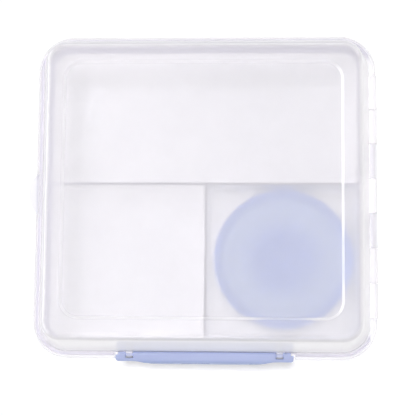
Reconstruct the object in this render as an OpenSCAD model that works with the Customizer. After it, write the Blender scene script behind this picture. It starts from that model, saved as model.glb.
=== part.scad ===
// Square two-shell snack box with a hinged inner flap, a front clip and a round screw-top pot.
// The origin is the centre of the flat base. +X is towards the hinge, +Y away from the clip, +Z up.

/* [Box] */
// Width over the flanges, from the flap side to the hinge side
box_w = 164; // [150:1:180]
// Depth over the flanges, from the clip side to the back
box_d = 156; // [145:1:180]
// Radius of the flange's corners
corner_r = 17; // [16:0.5:20]
// Height of the flange face on which the two shells meet
part_z = 54; // [48:1:70]
// Height of the upper shell above that face
lid_h = 28; // [24:1:40]
// Moulded wall thickness
wall = 1.5; // [1.2:0.1:1.8]

/* [Lid panel] */
// Width of the sunken panel in the lid, over its sloping sides
panel_w = 130.8; // [110:0.1:132]
// Depth of the sunken panel, front to back, over its sloping sides
panel_d = 120.6; // [100:0.1:124]
// Corner radius of the sunken panel
panel_r = 9; // [5:0.5:15]
// How far the panel is sunk below the lid's border
panel_sink = 1.3; // [0.6:0.1:2]

/* [Dividers] */
// Distance of the cross divider behind the box's centre
cross_y = 5.8; // [0:0.1:12]
// Distance of the front divider to the right of the box's centre
front_x = 0.5; // [-4:0.1:1]
// Thickness of the dividers at their top
divider_t = 1.2; // [1:0.1:1.6]

/* [Flap] */
// Thickness of the flap
flap_t = 1.2; // [1:0.1:1.2]
// Radius of the finger tab's round edge
tab_r = 13.8; // [10:0.1:16]
// How far the finger tab stands out of the flange
tab_reach = 3.2; // [2:0.1:5]

/* [Hinge] */
// Length of the row of knuckles
hinge_len = 117; // [100:1:120]
// Radius of the knuckles
knuckle_r = 2; // [1.8:0.1:2.2]
// Radius of the hinge rod
rod_r = 1; // [0.8:0.05:1.1]

/* [Clip] */
// Width of the clip's leaf
clip_w = 84; // [70:1:90]
// Width of the clip's nose, over the lid's two ears
nose_w = 75; // [60:1:76]
// Height of the clip's leaf below its pivot
clip_h = 14.6; // [12:0.1:18]

/* [Pot] */
// Outer radius of the pot's lid
pot_lid_r = 34; // [33.5:0.1:34]
// Height of the closed pot
pot_h = 40; // [38:0.5:44]
// Distance of the pot's centre to the right of the box's centre
pot_x = 37.8; // [37:0.1:38]
// Distance of the pot's centre in front of the box's centre
pot_front = 29.4; // [29:0.1:30]

/* [Hidden] */
$fn = 96;
far = 300;

// Centres of the corner arcs, and the radii of the shells' outlines about them
corner_x = box_w / 2 - corner_r;
corner_y = box_d / 2 - corner_r;
floor_r = 7;
lower_rim_out = corner_r - 6.5;
lower_rim_in = lower_rim_out - wall;
edge_break = 0.4;
skirt_in = corner_r - 1.2;
skirt_z = part_z - 4.4;
lip_in = corner_r - 1;
lip_h = 0.9;
flange_t = 1.6;
lower_draft = atan((lower_rim_out - floor_r) / (part_z - flange_t - floor_r));

// Upper shell
lid_top = part_z + lid_h;
lid_flange_out = corner_r - 1.25;
lid_rim_in = corner_r - 2.6;
lid_rim_z = part_z + flap_t + 0.1;
lid_flange_top = lid_rim_z + 1.4;
lid_wall_out = corner_r - 3.4;
shoulder_r = 4.5;
panel_slope = 1.3;
panel_back_margin = 0.8;
shoulder_x = corner_r - 12.2;
shoulder_z = lid_top - shoulder_r;
lid_draft = atan((lid_wall_out - shoulder_x - shoulder_r) / (shoulder_z - lid_flange_top));

// Flap
flap_out = corner_r - 2.9;
tab_x = -box_w / 2 - tab_reach + tab_r;
tab_half_w = 11;
tab_y = 0.6;
flap_gap = 0.3;

// Hinge: seven knuckles, shared out to the lower shell, the upper shell and the flap
hinge_x = box_w / 2 - 1.5;
hinge_z = part_z + 0.6;
hinge_gap = 0.3;
knuckle_fit = 0.35;
rod_fit = 0.05;
lower_knuckles = [0, 3, 6];
upper_knuckles = [1, 5];
flap_knuckles = [2, 4];
knuckle_n = 7;
knuckle_pitch = hinge_len / knuckle_n;
lip_gap = 2;
lip_x = corner_x + lower_rim_in + 1;
lid_side_x = corner_x + lid_wall_out;

// Clip
clip_x = 0.5;
clip_y = -(box_d / 2 - 1.7);
clip_z = part_z + 2.6;
barrel_r = 1.4;
ear_r = 1.5;
ear_w = 3;
ear_gap = 0.3;
ear_foot_z = 0.7;
ear_inset = nose_w / 2 - ear_w - 0.5;
pin_r = 0.9;
pin_fit = 0.05;
leaf_in = -1.6;
leaf_out = -3;
grip_w = 48;
swell_w = 10;
swell_h = 1.45;
end_r = 1.2;
catch_edge = box_d / 2 - 0.8;
clip_margin = 1;
wall_front = -corner_y - lid_wall_out;
nose_drop = clip_z - (part_z - flange_t) + 0.2;
nose_reach = 2.3;
ear_back = -corner_y - flap_out - 0.1;
flap_notch_y = clip_y + nose_reach + 0.2;

// Pot
pot_base_z = wall;
neck_r = 30.9;
neck_z = 30.5;
pot_mouth_z = pot_h - 2.6;
pot_wall = 1.4;
foot_h = 0.6;
foot_r = 20.6;
cup_base_r = 26.9;
cup_top_r = 30.4;
collar_r = 33;
collar_t = 1.5;
seal_t = 0.8;
seal_w = 2.4;
lid_skirt_z = pot_h - 9;
lid_bore_r = 32.4;
cap_rim_r = 1.2;
cap_sink = 0.9;
cap_well_r = 30;
cap_step = 0.25;
cap_step_r = 24.4;
cap_disc_r = 16.2;
thread_lead = 8;
thread_sweep = 110;
thread_z = 33.2;
thread_offset = 1.6;
rib_root = 0.3;
rib_h = 1.1;

// Points on an arc, from angle a0 to angle a1
function arc(cx, cz, r, a0, a1, n = 8) =
    [for (i = [0:n]) [cx + r * cos(a0 + (a1 - a0) * i / n), cz + r * sin(a0 + (a1 - a0) * i / n)]];

// Carries a wall section round a rounded rectangle whose corner arcs are centred at (+-cx, +-cy). The
// section is drawn with its x measured outwards from those centres, and its y upwards.
module round_sweep(cx, cy) {
    for (sx = [0, 1], sy = [0, 1])
        mirror([sx, 0, 0])
            mirror([0, sy, 0])
                translate([cx, cy, 0])
                    rotate_extrude(angle = 90)
                        children();
    for (s = [0, 1])
        mirror([s, 0, 0])
            translate([cx, cy, 0])
                rotate([90, 0, 0])
                    linear_extrude(2 * cy)
                        children();
    for (s = [0, 1])
        mirror([0, s, 0])
            translate([-cx, cy, 0])
                rotate([90, 0, 90])
                    linear_extrude(2 * cx)
                        children();
}

module round_box() {
    round_sweep(corner_x, corner_y) children();
}

// A plate that fills the middle of a shell, inside the corner centres
module middle_plate(z0, z1) {
    translate([-corner_x, -corner_y, z0])
        cube([2 * corner_x, 2 * corner_y, z1 - z0]);
}

module rounded_rect(w, d, r) {
    square([w - 2 * r, d], center = true);
    square([w, d - 2 * r], center = true);
    for (sx = [-1, 1], sy = [-1, 1])
        translate([sx * (w / 2 - r), sy * (d / 2 - r)])
            circle(r);
}

// A cylinder along the hinge axis over one knuckle's stretch, longer by a margin at each end
module hinge_stretch(i, r, margin = 0) {
    translate([hinge_x, hinge_len / 2 - i * knuckle_pitch - hinge_gap / 2 + margin, hinge_z])
        rotate([90, 0, 0])
            cylinder(h = knuckle_pitch - hinge_gap + 2 * margin, r = r);
}

// A block over one knuckle's stretch, from x0 to x1 and z0 to z1
module hinge_block(i, x0, x1, z0, z1, margin = 0) {
    y0 = hinge_len / 2 - (i + 1) * knuckle_pitch + hinge_gap / 2 - margin;
    translate([x0, y0, z0])
        cube([x1 - x0, knuckle_pitch - hinge_gap + 2 * margin, z1 - z0]);
}

module rod_hole() {
    translate([hinge_x, hinge_len / 2 + 1, hinge_z])
        rotate([90, 0, 0])
            cylinder(h = hinge_len + 2, r = rod_r + rod_fit);
}

// A block over the clip's width, in front of y, from z0 to z1, which clears the way for the clip
module clip_bay(y, z0, z1) {
    translate([clip_x - clip_w / 2 - clip_margin, y - far, z0])
        cube([clip_w + 2 * clip_margin, far, z1 - z0]);
}

// A block over the finger tab's width, outside the left corner centres, from z0 to z1
module tab_bay(z0, z1, margin = 0) {
    translate([-far - corner_x, -tab_half_w + margin, z0])
        cube([far, 2 * (tab_half_w - margin), z1 - z0]);
}

module lower_section() {
    polygon(concat(
        [[0, 0]],
        arc(0, floor_r, floor_r, -90, -lower_draft),
        [
            [lower_rim_out, part_z - flange_t],
            [skirt_in, part_z - flange_t],
            [skirt_in, skirt_z],
            [corner_r - edge_break, skirt_z],
            [corner_r, skirt_z + edge_break],
            [corner_r, part_z + lip_h - edge_break],
            [corner_r - edge_break, part_z + lip_h],
            [lip_in, part_z + lip_h],
            [lip_in, part_z],
            [lower_rim_in, part_z]
        ],
        arc(0, floor_r, floor_r - wall, -lower_draft, -90),
        [[0, wall]]
    ));
}

// The space inside the lower shell, which trims the dividers to the drafted walls
module lower_hollow_section() {
    polygon(concat(
        [[0, part_z], [lower_rim_in + wall / 2, part_z]],
        arc(0, floor_r, floor_r - wall / 2, -lower_draft, -90)
    ));
}

module dividers() {
    intersection() {
        union() {
            translate([-far / 2, cross_y - divider_t / 2, wall / 2])
                cube([far, divider_t, part_z - wall / 2]);
            translate([front_x - divider_t / 2, -far / 2, wall / 2])
                cube([divider_t, far / 2 + cross_y, part_z - wall / 2]);
        }
        union() {
            round_box() lower_hollow_section();
            middle_plate(wall / 2, part_z);
        }
    }
}

// What the hinge side of the lower shell loses: room for the other parts' knuckles, the lip
// beside its own knuckles and beyond the end ones, and the rod's hole
module hinge_cuts() {
    for (i = concat(upper_knuckles, flap_knuckles))
        hinge_block(i, hinge_x - knuckle_r - knuckle_fit, hinge_x + far, part_z - 2, part_z + far, hinge_gap);
    for (i = lower_knuckles)
        difference() {
            hinge_block(i, lip_x, hinge_x + far, part_z, part_z + 2 * lip_h, hinge_gap);
            hinge_stretch(i, knuckle_r, hinge_gap);
        }
    for (s = [0, 1])
        mirror([0, s, 0])
            translate([lip_x, hinge_len / 2, part_z])
                cube([far, lip_gap, far]);
    rod_hole();
}

module lower_shell() {
    color([0.93, 0.92, 0.95, 0.5]) {
        difference() {
            union() {
                round_box() lower_section();
                middle_plate(0, wall);
                for (i = lower_knuckles) hinge_stretch(i, knuckle_r);
            }
            hinge_cuts();
            clip_bay(-catch_edge, skirt_z - 1, part_z + far);
            clip_bay(-corner_y - lower_rim_out, skirt_z - 1, part_z - flange_t);
            clip_bay(-corner_y - lower_rim_out, part_z, part_z + far);
            tab_bay(part_z, part_z + far);
        }
        dividers();
    }
}

module upper_section() {
    polygon(concat(
        [[0, lid_top]],
        arc(shoulder_x, shoulder_z, shoulder_r, 90, lid_draft),
        [
            [lid_wall_out, lid_flange_top],
            [lid_flange_out - 0.5, lid_flange_top],
            [lid_flange_out, lid_flange_top - 0.5],
            [lid_flange_out, part_z],
            [lid_rim_in, part_z],
            [lid_rim_in, lid_rim_z],
            [lid_wall_out - wall, lid_rim_z]
        ],
        arc(shoulder_x, shoulder_z, shoulder_r - wall, lid_draft, 90),
        [[0, lid_top - wall]]
    ));
}

// The space above the sunken panel, with sides that slope down to it
module panel_section() {
    polygon([
        [0, lid_top - panel_sink],
        [panel_r - panel_slope - edge_break, lid_top - panel_sink],
        [panel_r - panel_slope, lid_top - panel_sink + edge_break / 3],
        [panel_r - edge_break / 2, lid_top - edge_break / 3],
        [panel_r + edge_break, lid_top],
        [panel_r + edge_break, lid_top + 1],
        [0, lid_top + 1]
    ]);
}

module panel_cut() {
    cx = panel_w / 2 - panel_r;
    cy = panel_d / 2 - panel_r;
    round_sweep(cx, cy) panel_section();
    translate([-cx, -cy, lid_top - panel_sink])
        cube([2 * cx, 2 * cy, panel_sink + 1]);
}

// The thicker plate under the sunken panel
module panel_back() {
    grow = panel_back_margin;
    translate([0, 0, lid_top - panel_sink - wall])
        linear_extrude(panel_sink + wall / 2)
            rounded_rect(panel_w + 2 * grow, panel_d + 2 * grow, panel_r + grow);
}

// One of the two ears that hold the clip's pin, s = -1 on the left and 1 on the right
module clip_ear(s) {
    translate([clip_x + s * (ear_inset + ear_w / 2), clip_y, clip_z]) {
        rotate([0, 90, 0])
            cylinder(h = ear_w, r = ear_r, center = true);
        translate([-ear_w / 2, -ear_r, part_z - clip_z])
            cube([ear_w, ear_back - clip_y + ear_r, clip_z - part_z]);
        translate([-ear_w / 2, 0, lid_rim_z - clip_z])
            cube([ear_w, wall_front - clip_y + wall / 2, clip_z - lid_rim_z + ear_foot_z]);
    }
}

module upper_shell() {
    color([0.94, 0.93, 0.96, 0.5])
        difference() {
            union() {
                difference() {
                    union() {
                        round_box() upper_section();
                        middle_plate(lid_top - wall, lid_top);
                        panel_back();
                    }
                    panel_cut();
                    translate([lid_side_x, -far / 2, 0])
                        cube(far);
                    for (i = concat(lower_knuckles, flap_knuckles))
                        hinge_stretch(i, knuckle_r + knuckle_fit, hinge_gap);
                    tab_bay(part_z - 1, lid_rim_z);
                    clip_bay(wall_front, 0, lid_flange_top + 1);
                }
                for (i = upper_knuckles) {
                    hinge_stretch(i, knuckle_r);
                    hinge_block(i, lid_side_x - wall, hinge_x, lid_rim_z, hinge_z + knuckle_r);
                }
                for (s = [-1, 1]) clip_ear(s);
            }
            translate([clip_x, clip_y, clip_z])
                rotate([0, 90, 0])
                    cylinder(h = nose_w, r = pin_r + pin_fit, center = true);
            rod_hole();
        }
}

module inner_flap() {
    color([0.95, 0.94, 0.97, 0.5])
        difference() {
            union() {
                intersection() {
                    translate([0, 0, part_z])
                        linear_extrude(flap_t)
                            rounded_rect(2 * (corner_x + flap_out), 2 * (corner_y + flap_out), flap_out);
                    translate([-far + lid_side_x - 1, -far / 2, 0])
                        cube(far);
                }
                intersection() {
                    translate([tab_x, tab_y, part_z])
                        cylinder(h = flap_t, r = tab_r);
                    tab_bay(0, far, flap_gap);
                }
                for (i = flap_knuckles) {
                    hinge_stretch(i, knuckle_r);
                    hinge_block(i, lid_side_x - 2, hinge_x, part_z, part_z + flap_t);
                }
            }
            for (i = concat(lower_knuckles, upper_knuckles))
                hinge_stretch(i, knuckle_r + knuckle_fit, hinge_gap);
            rod_hole();
            translate([clip_x - nose_w / 2 - flap_gap, flap_notch_y - far, 0])
                cube([nose_w + 2 * flap_gap, far, far]);
        }
}

module hinge_rod() {
    color([0.9, 0.9, 0.93])
        translate([hinge_x, hinge_len / 2 - hinge_gap, hinge_z])
            rotate([90, 0, 0])
                cylinder(h = hinge_len - 2 * hinge_gap, r = rod_r);
}

// Sections across the clip, with y to the left and right of the pivot and z above and below it
module leaf_section() {
    polygon(concat(
        [[0, barrel_r]],
        arc(leaf_in + 0.2, -barrel_r, 2.5, 100, 170, 6),
        [
            [leaf_out - 0.7, -clip_h / 2],
            [leaf_out - 1.2, -clip_h + 2.6]
        ],
        arc(leaf_out - 0.6, -clip_h + 0.8, 0.8, 170, 290, 6),
        [
            [leaf_in - 0.2, -clip_h + 0.4],
            [leaf_in, -clip_h + 1.2],
            [leaf_in, -0.8],
            [0, -0.8]
        ]
    ));
}

// How far the leaf's face stands out at a distance x from its middle: it swells over the grip
function swell(x) =
    let (t = (abs(x) - grip_w / 2) / swell_w)
    t <= 0 ? swell_h : t >= 1 ? 0 : swell_h * (1 + cos(180 * t)) / 2;

// The leaf seen from above, which trims its section to the swelling face and the rounded ends
module leaf_plan() {
    half = clip_w / 2;
    face = [for (i = [-20:20]) let (x = (half - end_r) * i / 20) [x, leaf_out - swell(x)]];
    polygon(concat(
        arc(-half + end_r, leaf_out + end_r, end_r, 180, 264, 4),
        face,
        arc(half - end_r, leaf_out + end_r, end_r, 276, 360, 4),
        [[half, barrel_r], [-half, barrel_r]]
    ));
}

module leaf() {
    intersection() {
        across_clip(clip_w) leaf_section();
        translate([clip_x, clip_y, clip_z - far / 2])
            linear_extrude(far) leaf_plan();
    }
}

module nose_section() {
    polygon([
        [leaf_in - 0.5, -nose_drop],
        [nose_reach - 0.6, -nose_drop],
        [nose_reach, -nose_drop - 0.5],
        [nose_reach - 0.2, -nose_drop - 1.1],
        [leaf_in, -nose_drop - 2],
        [leaf_in - 0.5, -nose_drop - 2.6]
    ]);
}

module across_clip(w) {
    translate([clip_x - w / 2, clip_y, clip_z])
        rotate([90, 0, 90])
            linear_extrude(w)
                children();
}

// The slot in the clip that an ear stands in
module ear_slot(s) {
    slot_w = ear_w + 2 * ear_gap;
    translate([clip_x + s * (ear_inset + ear_w / 2) - slot_w / 2, clip_y + leaf_in, clip_z - 2 * ear_r])
        cube([slot_w, far, far]);
}

module latch_clip() {
    color([0.6, 0.66, 0.86]) {
        difference() {
            union() {
                leaf();
                across_clip(clip_w - 2 * end_r) circle(barrel_r);
            }
            for (s = [-1, 1]) ear_slot(s);
        }
        across_clip(nose_w) nose_section();
        across_clip(nose_w) circle(pin_r);
    }
}

module at_pot() {
    translate([pot_x, -pot_front, pot_base_z])
        children();
}

// A screw thread's rib: a ridge that climbs with the angle, on a wall of radius r0, out to r1
module thread_rib(r0, r1, z0) {
    steps = 22;
    half_root = 0.75;
    half_tip = 0.4;
    rings = [for (i = [0:steps])
        let (a = thread_sweep * i / steps, z = z0 + thread_lead * a / 360)
        [
            [r0 * cos(a), r0 * sin(a), z - half_root],
            [r1 * cos(a), r1 * sin(a), z - half_tip],
            [r1 * cos(a), r1 * sin(a), z + half_tip],
            [r0 * cos(a), r0 * sin(a), z + half_root]
        ]];
    sides = [for (i = [0:steps - 1], k = [0:3])
        let (a = 4 * i + k, b = 4 * i + (k + 1) % 4)
        each [[a, a + 4, b], [a + 4, b + 4, b]]];
    last = 4 * steps;
    caps = [[0, 1, 2], [0, 2, 3], [last + 2, last + 1, last], [last + 3, last + 2, last]];
    polyhedron(
        points = [for (ring = rings) each ring],
        faces = r1 < r0 ? concat(sides, caps) : [for (f = concat(sides, caps)) [f[2], f[1], f[0]]]
    );
}

// Half of the cup's section: foot ring, drafted wall, collar and neck
module cup_section() {
    polygon([
        [0, foot_h],
        [foot_r - 0.6, foot_h],
        [foot_r, 0],
        [foot_r + 3.4, 0],
        [cup_base_r - 0.9, 1],
        [cup_base_r, 3],
        [cup_top_r, neck_z - collar_t],
        [collar_r, neck_z - collar_t],
        [collar_r, neck_z],
        [neck_r, neck_z],
        [neck_r, pot_mouth_z - edge_break],
        [neck_r - edge_break, pot_mouth_z],
        [neck_r - pot_wall, pot_mouth_z],
        [neck_r - pot_wall, neck_z - collar_t],
        [cup_base_r - pot_wall, 4],
        [foot_r + 3.9, 2.4],
        [foot_r + 1.4, foot_h + pot_wall],
        [0, foot_h + pot_wall]
    ]);
}

module pot_body() {
    color([0.93, 0.93, 0.96, 0.6])
        at_pot() {
            rotate_extrude() cup_section();
            for (a = [0, 180])
                rotate(a) thread_rib(neck_r - rib_root, neck_r + rib_h, thread_z);
        }
}

module pot_seal() {
    color([0.85, 0.88, 0.95])
        at_pot()
            translate([0, 0, pot_mouth_z])
                difference() {
                    cylinder(h = seal_t, r = neck_r);
                    translate([0, 0, -1])
                        cylinder(h = seal_t + 2, r = neck_r - seal_w);
                }
}

// Half of the pot lid's section: skirt, round rim, and a top that steps down to a middle disc
module cap_section() {
    top_z = pot_mouth_z + seal_t;
    polygon(concat(
        [
            [0, top_z],
            [lid_bore_r, top_z],
            [lid_bore_r, lid_skirt_z],
            [pot_lid_r - edge_break, lid_skirt_z],
            [pot_lid_r, lid_skirt_z + edge_break]
        ],
        arc(pot_lid_r - cap_rim_r, pot_h - cap_rim_r, cap_rim_r, 0, 90, 5),
        [
            [cap_well_r + 0.9, pot_h],
            [cap_well_r, pot_h - cap_sink],
            [cap_step_r + 0.6, pot_h - cap_sink],
            [cap_step_r, pot_h - cap_sink + cap_step],
            [cap_disc_r + 0.6, pot_h - cap_sink + cap_step],
            [cap_disc_r, pot_h - cap_sink + 2 * cap_step],
            [0, pot_h - cap_sink + 2 * cap_step]
        ]
    ));
}

module pot_lid() {
    color([0.62, 0.68, 0.87])
        at_pot() {
            rotate_extrude() cap_section();
            for (a = [0, 180])
                rotate(a) thread_rib(lid_bore_r + rib_root, lid_bore_r - rib_h, thread_z - thread_offset);
        }
}

lower_shell();
upper_shell();
inner_flap();
hinge_rod();
latch_clip();
pot_body();
pot_seal();
pot_lid();
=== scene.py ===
"""Looks for the square snack box: clear mouldings, blue clip and pot lid, light and camera."""

import math

import bpy
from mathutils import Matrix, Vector


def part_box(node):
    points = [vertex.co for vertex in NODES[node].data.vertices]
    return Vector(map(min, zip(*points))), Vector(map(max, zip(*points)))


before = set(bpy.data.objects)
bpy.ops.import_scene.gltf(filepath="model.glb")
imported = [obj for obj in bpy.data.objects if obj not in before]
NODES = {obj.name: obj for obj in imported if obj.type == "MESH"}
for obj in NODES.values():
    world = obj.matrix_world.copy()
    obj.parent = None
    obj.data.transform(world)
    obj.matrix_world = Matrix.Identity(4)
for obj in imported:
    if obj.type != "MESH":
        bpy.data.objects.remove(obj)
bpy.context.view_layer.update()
MM = 0.001

# ---------------------------------------------------------------- camera, from the photograph's view
CAMERA_AT = Vector((31.6, -74.7, 635.1)) * MM
CAMERA_TURN_DEG = (6.77, 2.91, 0.50)
CAMERA_LENS_MM = 105.3
CAMERA_SENSOR_MM = 36
CAMERA_CLIP = 0.05, 20


def make_camera():
    data = bpy.data.cameras.new("camera")
    data.lens = CAMERA_LENS_MM
    data.sensor_width = CAMERA_SENSOR_MM
    data.clip_start, data.clip_end = CAMERA_CLIP
    camera = bpy.data.objects.new("camera", data)
    camera.location = CAMERA_AT
    camera.rotation_euler = [math.radians(a) for a in CAMERA_TURN_DEG]
    bpy.context.scene.collection.objects.link(camera)
    bpy.context.scene.camera = camera


# ---------------------------------------------------------------- material helpers
class Nodes:
    """Short names for building a material's node tree."""

    def __init__(self, name):
        self.material = bpy.data.materials.new(name)
        self.material.use_nodes = True
        self.tree = self.material.node_tree
        self.tree.nodes.clear()

    def add(self, kind, inputs=None, **settings):
        node = self.tree.nodes.new(kind)
        for key, value in settings.items():
            setattr(node, key, value)
        for key, value in (inputs or {}).items():
            socket = node.inputs[key]
            if isinstance(value, bpy.types.NodeSocket):
                self.tree.links.new(value, socket)
            else:
                socket.default_value = value
        return node

    def noise(self, scale, detail=3.0, rough=0.5, stretch=(1, 1, 1)):
        place = self.add("ShaderNodeTexCoord").outputs["Object"]
        mapped = self.add(
            "ShaderNodeMapping", {"Vector": place, "Scale": stretch}
        ).outputs["Vector"]
        return self.add(
            "ShaderNodeTexNoise",
            {"Vector": mapped, "Scale": scale, "Detail": detail, "Roughness": rough},
        ).outputs["Fac"]

    def along(self, axis):
        """Distance from the origin along an axis, with its sign."""
        place = self.add("ShaderNodeTexCoord").outputs["Object"]
        return self.add("ShaderNodeSeparateXYZ", {0: place}).outputs[axis]

    def math(self, operation, first, second=0.0):
        return self.add(
            "ShaderNodeMath", {0: first, 1: second}, operation=operation
        ).outputs["Value"]

    def beyond(self, axis, half, step):
        """0 within a distance of the origin along an axis and 1 past it, with a soft step."""
        return self.spread(self.math("ABSOLUTE", self.along(axis)), 0, 1, half - step, half + step)

    def radius(self, centre):
        """Distance from an upright axis."""
        place = self.add("ShaderNodeTexCoord").outputs["Object"]
        flat = self.add(
            "ShaderNodeVectorMath", {0: place, 1: (1, 1, 0)}, operation="MULTIPLY"
        ).outputs["Vector"]
        return self.add(
            "ShaderNodeVectorMath", {0: flat, 1: (*centre, 0)}, operation="DISTANCE"
        ).outputs["Value"]

    def spread(self, value, low, high, start=0.35, end=0.65, clamp=True):
        """Maps start..end to low..high; noise mostly lies in the range that is given by default."""
        return self.add(
            "ShaderNodeMapRange",
            {"Value": value, "From Min": start, "From Max": end, "To Min": low, "To Max": high},
            clamp=clamp,
        ).outputs["Result"]

    def blend(self, share, first, second):
        """Mixes two colours, each a socket or three numbers; a share of 1 gives the second."""
        sockets = {"Factor_Float": share}
        for key, colour in (("A_Color", first), ("B_Color", second)):
            sockets[key] = colour if isinstance(colour, bpy.types.NodeSocket) else (*colour, 1)
        node = self.add("ShaderNodeMix", data_type="RGBA")
        for socket in node.inputs:
            value = sockets.get(socket.identifier)
            if isinstance(value, bpy.types.NodeSocket):
                self.tree.links.new(value, socket)
            elif value is not None:
                socket.default_value = value
        return next(socket for socket in node.outputs if socket.identifier == "Result_Color")

    def rounded_edges(self, radius):
        return self.add("ShaderNodeBevel", {"Radius": radius}, samples=4).outputs["Normal"]

    def bump(self, height, strength, distance, normal):
        return self.add(
            "ShaderNodeBump",
            {"Height": height, "Strength": strength, "Distance": distance, "Normal": normal},
        ).outputs["Normal"]

    def output(self, surface, volume=None):
        inputs = {"Surface": surface}
        if volume is not None:
            inputs["Volume"] = volume
        self.add("ShaderNodeOutputMaterial", inputs)
        return self.material


# ---------------------------------------------------------------- clear mouldings
# Painted light on the flap: its rim over the walls is tinted clearer, standing in for light
# scattered along the milky walls.
RIM_X, RIM_Y, RIM_STEP = 68 * MM, 63 * MM, 5 * MM  # painted light: where the flap's painted clearer rim begins, over the walls
END_X, END_STEP = 76 * MM, 1 * MM  # where its knuckles and its finger tab begin
END_TINT = 0.92, 0.915, 0.93
MILK_VARIES = 0.03
ROUGHNESS_VARIES = 0.1
SLANT_CLEAR = 0.1  # how clear the plastic still is at a steep slant
SLANT_LAMP_TINT = 0.8, 0.8, 0.83  # of lamp light that passes at a steep slant
DEPTH_TINT, DEPTH_DENSITY = (0.78, 0.77, 0.87, 1), 8
COAT = 0.5


def clear_plastic(name, tint, milk, roughness, lamp_tint, ior, lit_rim_tint=None):
    """Translucent polypropylene: milk is the share of light that it scatters, seen face on."""
    n = Nodes(name)
    colour = (*tint, 1)
    # painted light: a clearer rim over the walls, and clearer knuckles and finger tab
    if lit_rim_tint:
        rim = n.math("MAXIMUM", n.beyond("X", RIM_X, RIM_STEP), n.beyond("Y", RIM_Y, RIM_STEP))
        colour = n.blend(n.beyond("X", END_X, END_STEP), n.blend(rim, tint, lit_rim_tint), END_TINT)
    inside = n.add("ShaderNodeNewGeometry").outputs["Backfacing"]
    slant = n.add("ShaderNodeLayerWeight", {"Blend": 0.5}).outputs["Facing"]
    face_on = n.spread(n.noise(30, 3), 1 - milk * (1 + MILK_VARIES), 1 - milk * (1 - MILK_VARIES))
    haze = n.spread(slant, face_on, SLANT_CLEAR, 0.1, 0.75)
    clear = n.math("MAXIMUM", haze, inside)
    rounded = n.rounded_edges(0.4 * MM)
    body = n.add("ShaderNodeBsdfPrincipled", {
        "Base Color": colour,
        "Roughness": n.spread(
            n.noise(9, 3, 0.5, (1, 1, 2.5)),
            roughness * (1 - ROUGHNESS_VARIES),
            roughness * (1 + ROUGHNESS_VARIES),
        ),
        "IOR": ior,
        "Transmission Weight": clear,
        "Coat Weight": n.spread(inside, COAT, 0.0, 0, 1),
        "Coat Roughness": 0.12,
        "Coat IOR": 1.5,
        "Normal": n.bump(n.noise(900, 2, 0.6), 0.04, 0.05 * MM, rounded),
    })
    steep = n.spread(slant, 0, 1, 0.3, 0.85)
    through = n.blend(steep, lamp_tint, SLANT_LAMP_TINT)
    lamp = n.add("ShaderNodeBsdfTransparent", {"Color": through})
    shadow = n.add("ShaderNodeLightPath").outputs["Is Shadow Ray"]
    surface = n.add(
        "ShaderNodeMixShader",
        {"Fac": shadow, 1: body.outputs["BSDF"], 2: lamp.outputs["BSDF"]},
    )
    depth = n.add("ShaderNodeVolumeAbsorption", {"Color": DEPTH_TINT, "Density": DEPTH_DENSITY})
    return n.output(surface.outputs["Shader"], depth.outputs["Volume"])


# ---------------------------------------------------------------- opaque mouldings
CLIP_LIT_TOP_BAND = 2.8 * MM, 0.2 * MM  # painted light: below the clip's top, where its painted lit top starts to pale and where it is pale
MIDDLE_R = 12 * MM, 21 * MM  # the pot lid's deep middle fades out between these radii
RING_R = 22.4 * MM, 27.8 * MM  # two neighbouring pale rings
RIM_R = 28.5 * MM, 32 * MM  # the pot lid's deep rim fades in between these radii
RING_DEPTH = 0.75  # how pale it stays between the rings
STREAK_TINT, STREAK_SHARE = (0.1, 0.15, 0.35), 0.06


def clip_painted_top_light(n):
    """Rises over the top few millimetres of the clip: painted light, paling its top as if lit from
    above.
    """
    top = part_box("latch_clip")[1][2]
    start, end = CLIP_LIT_TOP_BAND
    return n.spread(n.along("Z"), 0, 1, top - start, top - end)


def pot_rings(n):
    """Pale between the middle and the rim of the pot's lid, with soft pale rings."""
    low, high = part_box("pot_lid")
    radius = n.radius([(low[i] + high[i]) / 2 for i in range(2)])
    turn = n.spread(radius, 0, math.tau, *RING_R, clamp=False)
    ring = n.spread(n.math("COSINE", turn), RING_DEPTH, 1, -1, 1)
    inner = n.spread(radius, 0, 1, *MIDDLE_R)
    outer = n.spread(radius, 1, 0, *RIM_R)
    return n.math("MULTIPLY", n.math("MULTIPLY", inner, outer), ring)


def solid_plastic(name, deep, pale, where, roughness):
    """Opaque moulded plastic, deep or pale as where says, with faint flow streaks."""
    n = Nodes(name)
    colour = n.blend(where(n), deep, pale)
    streaks = n.spread(n.noise(40, 3, 0.5, (1, 3, 1)), STREAK_SHARE, 0)
    streaked = n.blend(streaks, colour, STREAK_TINT)
    rounded = n.rounded_edges(0.5 * MM)
    body = n.add("ShaderNodeBsdfPrincipled", {
        "Base Color": streaked,
        "Roughness": n.spread(n.noise(60, 3), roughness * 0.9, roughness * 1.15),
        "IOR": 1.49,
        "Specular IOR Level": 0.2,
        "Subsurface Weight": 0.1,
        "Subsurface Radius": (2 * MM, 2 * MM, 3 * MM),
        "Normal": n.bump(n.noise(1800, 2, 0.6), 0.08, 0.1 * MM, rounded),
    })
    return n.output(body.outputs["BSDF"])


# ---------------------------------------------------------------- light and floor
HORIZON, OVERHEAD = 0.92, 0.31  # the room's light level with the box and straight above it
FRONT, FRONT_FADE = 1.1, 0.2  # its gain towards the clip's side, and the Y direction where that ends
SIDE_AT, SIDE_AIM = (-0.8, 0.0, 0.2), (0, 0, 0.06)
SIDE_SIZE, SIDE_POWER = (1.4, 0.3), 14
TOP_AT, TOP_AIM = (0.02, -0.02, 1.15), (0.02, -0.02, 0)
TOP_SIZE, TOP_POWER = (0.08, 0.08), 6
FLOOR_HALF = 3.0
FLOOR_Z = -0.0002
FLOOR_GLOW = 0.1, 0.3  # near the box and far from it
FLOOR_GLOW_R = 0.2, 1.3


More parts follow.
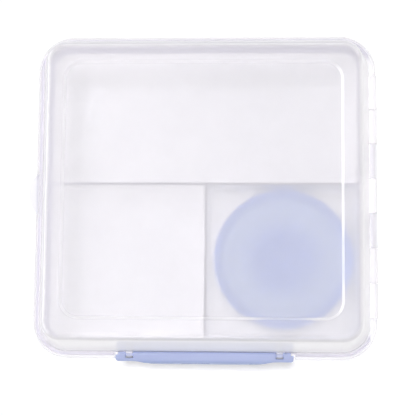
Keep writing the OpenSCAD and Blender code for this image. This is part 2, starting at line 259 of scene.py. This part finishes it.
def make_floor():
    """White paper that gives off a little light of its own."""
    mesh = bpy.data.meshes.new("floor")
    half = FLOOR_HALF
    corners = [(-half, -half, 0), (half, -half, 0), (half, half, 0), (-half, half, 0)]
    mesh.from_pydata(corners, [], [(0, 1, 2, 3)])
    floor = bpy.data.objects.new("floor", mesh)
    floor.location.z = FLOOR_Z
    bpy.context.scene.collection.objects.link(floor)
    n = Nodes("floor_paper")
    body = n.add("ShaderNodeBsdfPrincipled", {
        "Base Color": (0.95, 0.95, 0.955, 1),
        "Roughness": 0.9,
        "Specular IOR Level": 0.1,
        "Emission Color": (1, 1, 1, 1),
        "Emission Strength": n.spread(n.radius((0, 0)), *FLOOR_GLOW, *FLOOR_GLOW_R),
    })
    mesh.materials.append(n.output(body.outputs["BSDF"]))


def make_lamp(name, at, aim, size, power):
    data = bpy.data.lights.new(name, "AREA")
    data.shape = "RECTANGLE"
    data.size, data.size_y = size
    data.energy = power
    lamp = bpy.data.objects.new(name, data)
    lamp.location = at
    lamp.rotation_mode = "QUATERNION"
    lamp.rotation_quaternion = (Vector(aim) - Vector(at)).to_track_quat("-Z", "Y")
    bpy.context.scene.collection.objects.link(lamp)
    return lamp


def make_world():
    """A white room, dimmer overhead and a little brighter towards the clip's side."""
    world = bpy.data.worlds.new("studio")
    world.use_nodes = True
    tree = world.node_tree
    background = tree.nodes["Background"]
    background.inputs["Color"].default_value = (1, 1, 1, 1)
    towards = tree.nodes.new("ShaderNodeSeparateXYZ")
    tree.links.new(tree.nodes.new("ShaderNodeTexCoord").outputs["Generated"], towards.inputs[0])
    both = tree.nodes.new("ShaderNodeMath")
    both.operation = "MULTIPLY"
    shares = (
        ("Z", {"From Min": 0, "From Max": 1, "To Min": HORIZON, "To Max": OVERHEAD}),
        ("Y", {"From Min": -1, "From Max": FRONT_FADE, "To Min": FRONT, "To Max": 1}),
    )
    for i, (axis, settings) in enumerate(shares):
        share = tree.nodes.new("ShaderNodeMapRange")
        for key, value in settings.items():
            share.inputs[key].default_value = value
        tree.links.new(towards.outputs[axis], share.inputs["Value"])
        tree.links.new(share.outputs["Result"], both.inputs[i])
    tree.links.new(both.outputs["Value"], background.inputs["Strength"])
    bpy.context.scene.world = world


def make_light():
    scene = bpy.context.scene
    scene.view_settings.view_transform = "Standard"
    make_world()
    side = make_lamp("side_softbox", SIDE_AT, SIDE_AIM, SIDE_SIZE, SIDE_POWER)
    side.visible_diffuse = False
    top = make_lamp("top_lamp", TOP_AT, TOP_AIM, TOP_SIZE, TOP_POWER)
    top.visible_glossy = False
    top.visible_transmission = False
    scene.cycles.max_bounces = 24
    scene.cycles.transmission_bounces = 20
    scene.cycles.transparent_max_bounces = 32


# ---------------------------------------------------------------- the scene
make_camera()
make_floor()
make_light()

shell = clear_plastic(
    "clear_shell_pp", tint=(0.972, 0.962, 0.972), milk=0.32, roughness=0.16,
    lamp_tint=(0.965, 0.965, 0.97), ior=1.08)
base = clear_plastic(
    "clear_base_pp", tint=(0.985, 0.976, 0.987), milk=0.32, roughness=0.16,
    lamp_tint=(0.975, 0.975, 0.98), ior=1.08)
# the flap's clearer rim tint is painted light
flap = clear_plastic(
    "clear_flap_pp", tint=(0.735, 0.733, 0.745), milk=0.24, roughness=0.33,
    lamp_tint=(0.93, 0.93, 0.94), ior=1.3, lit_rim_tint=(0.87, 0.865, 0.88))
pot = clear_plastic(
    "clear_pot_pp", tint=(0.965, 0.965, 0.98), milk=0.2, roughness=0.2,
    lamp_tint=(0.96, 0.96, 0.975), ior=1.2)
# painted light and shade: the clip's pale is its lit top with sheen, its deep is its shaded lower
# face
blue = solid_plastic(
    "blue_clip_pp", deep=(0.25, 0.34, 0.62), pale=(0.46, 0.51, 0.75),
    where=clip_painted_top_light, roughness=0.29)
blue_lid = solid_plastic(
    "blue_lid_pp", deep=(0.28, 0.42, 0.93), pale=(0.53, 0.66, 0.99),
    where=pot_rings, roughness=0.4)
seal = solid_plastic(
    "seal_silicone", deep=(0.78, 0.8, 0.87), pale=(0.82, 0.84, 0.9),
    where=pot_rings, roughness=0.5)

for node, material in (
    ("lower_shell", base),
    ("upper_shell", shell),
    ("inner_flap", flap),
    ("hinge_rod", shell),
    ("latch_clip", blue),
    ("pot_body", pot),
    ("pot_lid", blue_lid),
    ("pot_seal", seal),
):
    slots = NODES[node].data.materials
    slots.clear()
    slots.append(material)
